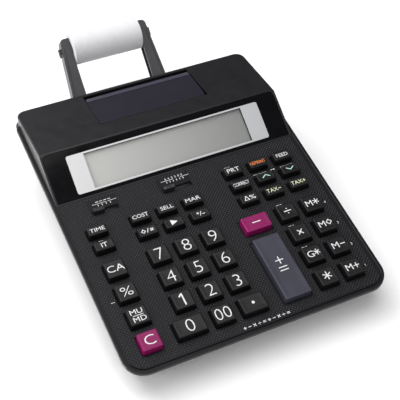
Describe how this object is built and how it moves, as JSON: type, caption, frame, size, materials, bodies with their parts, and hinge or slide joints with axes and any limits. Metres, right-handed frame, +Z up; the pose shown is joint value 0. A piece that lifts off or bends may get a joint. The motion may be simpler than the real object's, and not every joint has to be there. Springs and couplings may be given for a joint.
{
  "type": "printing desk calculator",
  "caption": "Desk calculator with a tilted key deck, sloped display, built-in paper printer and a folding paper roll holder behind it.",
  "frame": {"origin": "middle of the bounding box, at table level", "axes": "+X to the user's right, +Y from the user to the paper roll, +Z up"},
  "size_m": [0.195, 0.3058, 0.0662],
  "materials": {
    "case_black": "fine grained black plastic",
    "base_black": "satin black plastic",
    "display_gloss": "polished black plastic",
    "lcd": "grey-green liquid crystal glass with a white border",
    "smoked_cover": "smoked translucent purple-grey plastic",
    "holder_grey": "dark grey satin plastic",
    "paper": "white till paper",
    "circuit_board": "green solder mask",
    "sheet_rubber": "grey silicone",
    "frame_plastic": "dark grey moulded plastic",
    "roller_rubber": "black rubber",
    "ink_felt": "violet inked felt",
    "drum_metal": "bright metal",
    "key_black": "satin black plastic",
    "key_magenta": "satin magenta plastic",
    "key_slate": "satin slate-grey plastic"
  },
  "bodies": {
    "case": {"dc_jack": "case_black", "display_panel": "display_gloss", "key_sheet": "sheet_rubber", "lcd_module": "lcd", "lower_case": "base_black", "main_board": "circuit_board", "printer_frame": "frame_plastic", "upper_case": "case_black"},
    "mode_switch_knob": {"mode_switch_knob": "key_black"},
    "decimal_switch_knob": {"decimal_switch_knob": "key_black"},
    "printer_cover": {"printer_cover": "smoked_cover"},
    "paper_holder": {"paper_holder": "holder_grey"},
    "paper_roll": {"paper_roll": "paper"},
    "battery_door": {"battery_door": "base_black"},
    "print_drum": {"print_drum": "drum_metal"},
    "ink_roller": {"ink_roller": "ink_felt"},
    "feed_roller": {"feed_roller": "roller_rubber"},
    "key_0": {"key_0": "key_black"},
    "key_00": {"key_00": "key_black"},
    "key_1": {"key_1": "key_black"},
    "key_2": {"key_2": "key_black"},
    "key_3": {"key_3": "key_black"},
    "key_4": {"key_4": "key_black"},
    "key_5": {"key_5": "key_black"},
    "key_6": {"key_6": "key_black"},
    "key_7": {"key_7": "key_black"},
    "key_8": {"key_8": "key_black"},
    "key_9": {"key_9": "key_black"},
    "key_all_clear": {"key_all_clear": "key_black"},
    "key_check_down": {"key_check_down": "key_black"},
    "key_check_up": {"key_check_up": "key_black"},
    "key_clear": {"key_clear": "key_magenta"},
    "key_correct": {"key_correct": "key_black"},
    "key_cost": {"key_cost": "key_black"},
    "key_delta_percent": {"key_delta_percent": "key_black"},
    "key_divide": {"key_divide": "key_black"},
    "key_feed": {"key_feed": "key_black"},
    "key_grand_total": {"key_grand_total": "key_black"},
    "key_item": {"key_item": "key_black"},
    "key_margin": {"key_margin": "key_black"},
    "key_mark_up": {"key_mark_up": "key_black"},
    "key_memory_minus": {"key_memory_minus": "key_black"},
    "key_memory_plus": {"key_memory_plus": "key_black"},
    "key_memory_subtotal": {"key_memory_subtotal": "key_black"},
    "key_memory_total": {"key_memory_total": "key_black"},
    "key_minus": {"key_minus": "key_magenta"},
    "key_multiply": {"key_multiply": "key_black"},
    "key_percent": {"key_percent": "key_black"},
    "key_plus_equals": {"key_plus_equals": "key_slate"},
    "key_point": {"key_point": "key_black"},
    "key_print": {"key_print": "key_black"},
    "key_reprint": {"key_reprint": "key_black"},
    "key_sell": {"key_sell": "key_black"},
    "key_shift_right": {"key_shift_right": "key_black"},
    "key_sign": {"key_sign": "key_black"},
    "key_subtotal": {"key_subtotal": "key_black"},
    "key_tax_minus": {"key_tax_minus": "key_black"},
    "key_tax_plus": {"key_tax_plus": "key_black"},
    "key_time": {"key_time": "key_black"},
    "key_total": {"key_total": "key_black"}
  },
  "joints": [
    {"name": "mode_switch_slide", "type": "slide", "parent": "case", "child": "mode_switch_knob", "axis": [1, 0, 0], "range_m": [0, 0.0101]},
    {"name": "decimal_switch_slide", "type": "slide", "parent": "case", "child": "decimal_switch_knob", "axis": [1, 0, 0], "range_m": [0, 0.013]},
    {"name": "cover_hinge", "type": "hinge", "parent": "case", "child": "printer_cover", "pos_m": [0.0015, 0.03866, 0.06019], "axis": [1, 0, 0], "range_deg": [0, 75]},
    {"name": "holder_hinge", "type": "hinge", "parent": "case", "child": "paper_holder", "pos_m": [0.0015, 0.09243, 0.012], "axis": [1, 0, 0], "range_deg": [-36, 45]},
    {"name": "roll_spin", "type": "hinge", "parent": "paper_holder", "child": "paper_roll", "pos_m": [0.0015, 0.13997, 0.05333], "axis": [1, 0, 0], "continuous": true},
    {"name": "battery_door_hinge", "type": "hinge", "parent": "case", "child": "battery_door", "pos_m": [-0.0465, -0.00567, 0.0038], "axis": [1, 0, 0], "range_deg": [-90, 0]},
    {"name": "drum_spin", "type": "hinge", "parent": "case", "child": "print_drum", "pos_m": [0.0015, 0.05213, 0.04], "axis": [1, 0, 0], "continuous": true},
    {"name": "ink_spin", "type": "hinge", "parent": "case", "child": "ink_roller", "pos_m": [0.0015, 0.04563, 0.0504], "axis": [1, 0, 0], "continuous": true},
    {"name": "feed_spin", "type": "hinge", "parent": "case", "child": "feed_roller", "pos_m": [0.0015, 0.06513, 0.04], "axis": [1, 0, 0], "continuous": true},
    {"name": "key_0_press", "type": "slide", "parent": "case", "child": "key_0", "axis": [0, 0.1392, -0.9903], "range_m": [0, 0.0018], "stiffness_N_per_m": 330, "springref_m": -0.0006, "deforming": ["key_sheet"]},
    {"name": "key_00_press", "type": "slide", "parent": "case", "child": "key_00", "axis": [0, 0.1392, -0.9903], "range_m": [0, 0.0018], "stiffness_N_per_m": 330, "springref_m": -0.0006, "deforming": ["key_sheet"]},
    {"name": "key_1_press", "type": "slide", "parent": "case", "child": "key_1", "axis": [0, 0.1392, -0.9903], "range_m": [0, 0.0018], "stiffness_N_per_m": 330, "springref_m": -0.0006, "deforming": ["key_sheet"]},
    {"name": "key_2_press", "type": "slide", "parent": "case", "child": "key_2", "axis": [0, 0.1392, -0.9903], "range_m": [0, 0.0018], "stiffness_N_per_m": 330, "springref_m": -0.0006, "deforming": ["key_sheet"]},
    {"name": "key_3_press", "type": "slide", "parent": "case", "child": "key_3", "axis": [0, 0.1392, -0.9903], "range_m": [0, 0.0018], "stiffness_N_per_m": 330, "springref_m": -0.0006, "deforming": ["key_sheet"]},
    {"name": "key_4_press", "type": "slide", "parent": "case", "child": "key_4", "axis": [0, 0.1392, -0.9903], "range_m": [0, 0.0018], "stiffness_N_per_m": 330, "springref_m": -0.0006, "deforming": ["key_sheet"]},
    {"name": "key_5_press", "type": "slide", "parent": "case", "child": "key_5", "axis": [0, 0.1392, -0.9903], "range_m": [0, 0.0018], "stiffness_N_per_m": 330, "springref_m": -0.0006, "deforming": ["key_sheet"]},
    {"name": "key_6_press", "type": "slide", "parent": "case", "child": "key_6", "axis": [0, 0.1392, -0.9903], "range_m": [0, 0.0018], "stiffness_N_per_m": 330, "springref_m": -0.0006, "deforming": ["key_sheet"]},
    {"name": "key_7_press", "type": "slide", "parent": "case", "child": "key_7", "axis": [0, 0.1392, -0.9903], "range_m": [0, 0.0018], "stiffness_N_per_m": 330, "springref_m": -0.0006, "deforming": ["key_sheet"]},
    {"name": "key_8_press", "type": "slide", "parent": "case", "child": "key_8", "axis": [0, 0.1392, -0.9903], "range_m": [0, 0.0018], "stiffness_N_per_m": 330, "springref_m": -0.0006, "deforming": ["key_sheet"]},
    {"name": "key_9_press", "type": "slide", "parent": "case", "child": "key_9", "axis": [0, 0.1392, -0.9903], "range_m": [0, 0.0018], "stiffness_N_per_m": 330, "springref_m": -0.0006, "deforming": ["key_sheet"]},
    {"name": "key_all_clear_press", "type": "slide", "parent": "case", "child": "key_all_clear", "axis": [0, 0.1392, -0.9903], "range_m": [0, 0.0018], "stiffness_N_per_m": 330, "springref_m": -0.0006, "deforming": ["key_sheet"]},
    {"name": "key_check_down_press", "type": "slide", "parent": "case", "child": "key_check_down", "axis": [0, 0.1392, -0.9903], "range_m": [0, 0.0018], "stiffness_N_per_m": 330, "springref_m": -0.0006, "deforming": ["key_sheet"]},
    {"name": "key_check_up_press", "type": "slide", "parent": "case", "child": "key_check_up", "axis": [0, 0.1392, -0.9903], "range_m": [0, 0.0018], "stiffness_N_per_m": 330, "springref_m": -0.0006, "deforming": ["key_sheet"]},
    {"name": "key_clear_press", "type": "slide", "parent": "case", "child": "key_clear", "axis": [0, 0.1392, -0.9903], "range_m": [0, 0.0018], "stiffness_N_per_m": 330, "springref_m": -0.0006, "deforming": ["key_sheet"]},
    {"name": "key_correct_press", "type": "slide", "parent": "case", "child": "key_correct", "axis": [0, 0.1392, -0.9903], "range_m": [0, 0.0018], "stiffness_N_per_m": 330, "springref_m": -0.0006, "deforming": ["key_sheet"]},
    {"name": "key_cost_press", "type": "slide", "parent": "case", "child": "key_cost", "axis": [0, 0.1392, -0.9903], "range_m": [0, 0.0018], "stiffness_N_per_m": 330, "springref_m": -0.0006, "deforming": ["key_sheet"]},
    {"name": "key_delta_percent_press", "type": "slide", "parent": "case", "child": "key_delta_percent", "axis": [0, 0.1392, -0.9903], "range_m": [0, 0.0018], "stiffness_N_per_m": 330, "springref_m": -0.0006, "deforming": ["key_sheet"]},
    {"name": "key_divide_press", "type": "slide", "parent": "case", "child": "key_divide", "axis": [0, 0.1392, -0.9903], "range_m": [0, 0.0018], "stiffness_N_per_m": 330, "springref_m": -0.0006, "deforming": ["key_sheet"]},
    {"name": "key_feed_press", "type": "slide", "parent": "case", "child": "key_feed", "axis": [0, 0.1392, -0.9903], "range_m": [0, 0.0018], "stiffness_N_per_m": 330, "springref_m": -0.0006, "deforming": ["key_sheet"]},
    {"name": "key_grand_total_press", "type": "slide", "parent": "case", "child": "key_grand_total", "axis": [0, 0.1392, -0.9903], "range_m": [0, 0.0018], "stiffness_N_per_m": 330, "springref_m": -0.0006, "deforming": ["key_sheet"]},
    {"name": "key_item_press", "type": "slide", "parent": "case", "child": "key_item", "axis": [0, 0.1392, -0.9903], "range_m": [0, 0.0018], "stiffness_N_per_m": 330, "springref_m": -0.0006, "deforming": ["key_sheet"]},
    {"name": "key_margin_press", "type": "slide", "parent": "case", "child": "key_margin", "axis": [0, 0.1392, -0.9903], "range_m": [0, 0.0018], "stiffness_N_per_m": 330, "springref_m": -0.0006, "deforming": ["key_sheet"]},
    {"name": "key_mark_up_press", "type": "slide", "parent": "case", "child": "key_mark_up", "axis": [0, 0.1392, -0.9903], "range_m": [0, 0.0018], "stiffness_N_per_m": 330, "springref_m": -0.0006, "deforming": ["key_sheet"]},
    {"name": "key_memory_minus_press", "type": "slide", "parent": "case", "child": "key_memory_minus", "axis": [0, 0.1392, -0.9903], "range_m": [0, 0.0018], "stiffness_N_per_m": 330, "springref_m": -0.0006, "deforming": ["key_sheet"]},
    {"name": "key_memory_plus_press", "type": "slide", "parent": "case", "child": "key_memory_plus", "axis": [0, 0.1392, -0.9903], "range_m": [0, 0.0018], "stiffness_N_per_m": 330, "springref_m": -0.0006, "deforming": ["key_sheet"]},
    {"name": "key_memory_subtotal_press", "type": "slide", "parent": "case", "child": "key_memory_subtotal", "axis": [0, 0.1392, -0.9903], "range_m": [0, 0.0018], "stiffness_N_per_m": 330, "springref_m": -0.0006, "deforming": ["key_sheet"]},
    {"name": "key_memory_total_press", "type": "slide", "parent": "case", "child": "key_memory_total", "axis": [0, 0.1392, -0.9903], "range_m": [0, 0.0018], "stiffness_N_per_m": 330, "springref_m": -0.0006, "deforming": ["key_sheet"]},
    {"name": "key_minus_press", "type": "slide", "parent": "case", "child": "key_minus", "axis": [0, 0.1392, -0.9903], "range_m": [0, 0.0018], "stiffness_N_per_m": 330, "springref_m": -0.0006, "deforming": ["key_sheet"]},
    {"name": "key_multiply_press", "type": "slide", "parent": "case", "child": "key_multiply", "axis": [0, 0.1392, -0.9903], "range_m": [0, 0.0018], "stiffness_N_per_m": 330, "springref_m": -0.0006, "deforming": ["key_sheet"]},
    {"name": "key_percent_press", "type": "slide", "parent": "case", "child": "key_percent", "axis": [0, 0.1392, -0.9903], "range_m": [0, 0.0018], "stiffness_N_per_m": 330, "springref_m": -0.0006, "deforming": ["key_sheet"]},
    {"name": "key_plus_equals_press", "type": "slide", "parent": "case", "child": "key_plus_equals", "axis": [0, 0.1392, -0.9903], "range_m": [0, 0.0018], "stiffness_N_per_m": 330, "springref_m": -0.0006, "deforming": ["key_sheet"]},
    {"name": "key_point_press", "type": "slide", "parent": "case", "child": "key_point", "axis": [0, 0.1392, -0.9903], "range_m": [0, 0.0018], "stiffness_N_per_m": 330, "springref_m": -0.0006, "deforming": ["key_sheet"]},
    {"name": "key_print_press", "type": "slide", "parent": "case", "child": "key_print", "axis": [0, 0.1392, -0.9903], "range_m": [0, 0.0018], "stiffness_N_per_m": 330, "springref_m": -0.0006, "deforming": ["key_sheet"]},
    {"name": "key_reprint_press", "type": "slide", "parent": "case", "child": "key_reprint", "axis": [0, 0.1392, -0.9903], "range_m": [0, 0.0018], "stiffness_N_per_m": 330, "springref_m": -0.0006, "deforming": ["key_sheet"]},
    {"name": "key_sell_press", "type": "slide", "parent": "case", "child": "key_sell", "axis": [0, 0.1392, -0.9903], "range_m": [0, 0.0018], "stiffness_N_per_m": 330, "springref_m": -0.0006, "deforming": ["key_sheet"]},
    {"name": "key_shift_right_press", "type": "slide", "parent": "case", "child": "key_shift_right", "axis": [0, 0.1392, -0.9903], "range_m": [0, 0.0018], "stiffness_N_per_m": 330, "springref_m": -0.0006, "deforming": ["key_sheet"]},
    {"name": "key_sign_press", "type": "slide", "parent": "case", "child": "key_sign", "axis": [0, 0.1392, -0.9903], "range_m": [0, 0.0018], "stiffness_N_per_m": 330, "springref_m": -0.0006, "deforming": ["key_sheet"]},
    {"name": "key_subtotal_press", "type": "slide", "parent": "case", "child": "key_subtotal", "axis": [0, 0.1392, -0.9903], "range_m": [0, 0.0018], "stiffness_N_per_m": 330, "springref_m": -0.0006, "deforming": ["key_sheet"]},
    {"name": "key_tax_minus_press", "type": "slide", "parent": "case", "child": "key_tax_minus", "axis": [0, 0.1392, -0.9903], "range_m": [0, 0.0018], "stiffness_N_per_m": 330, "springref_m": -0.0006, "deforming": ["key_sheet"]},
    {"name": "key_tax_plus_press", "type": "slide", "parent": "case", "child": "key_tax_plus", "axis": [0, 0.1392, -0.9903], "range_m": [0, 0.0018], "stiffness_N_per_m": 330, "springref_m": -0.0006, "deforming": ["key_sheet"]},
    {"name": "key_time_press", "type": "slide", "parent": "case", "child": "key_time", "axis": [0, 0.1392, -0.9903], "range_m": [0, 0.0018], "stiffness_N_per_m": 330, "springref_m": -0.0006, "deforming": ["key_sheet"]},
    {"name": "key_total_press", "type": "slide", "parent": "case", "child": "key_total", "axis": [0, 0.1392, -0.9903], "range_m": [0, 0.0018], "stiffness_N_per_m": 330, "springref_m": -0.0006, "deforming": ["key_sheet"]}
  ],
  "couplings": [
    {"joint": "ink_spin", "follows": "drum_spin", "ratio": -1.4}
  ]
}
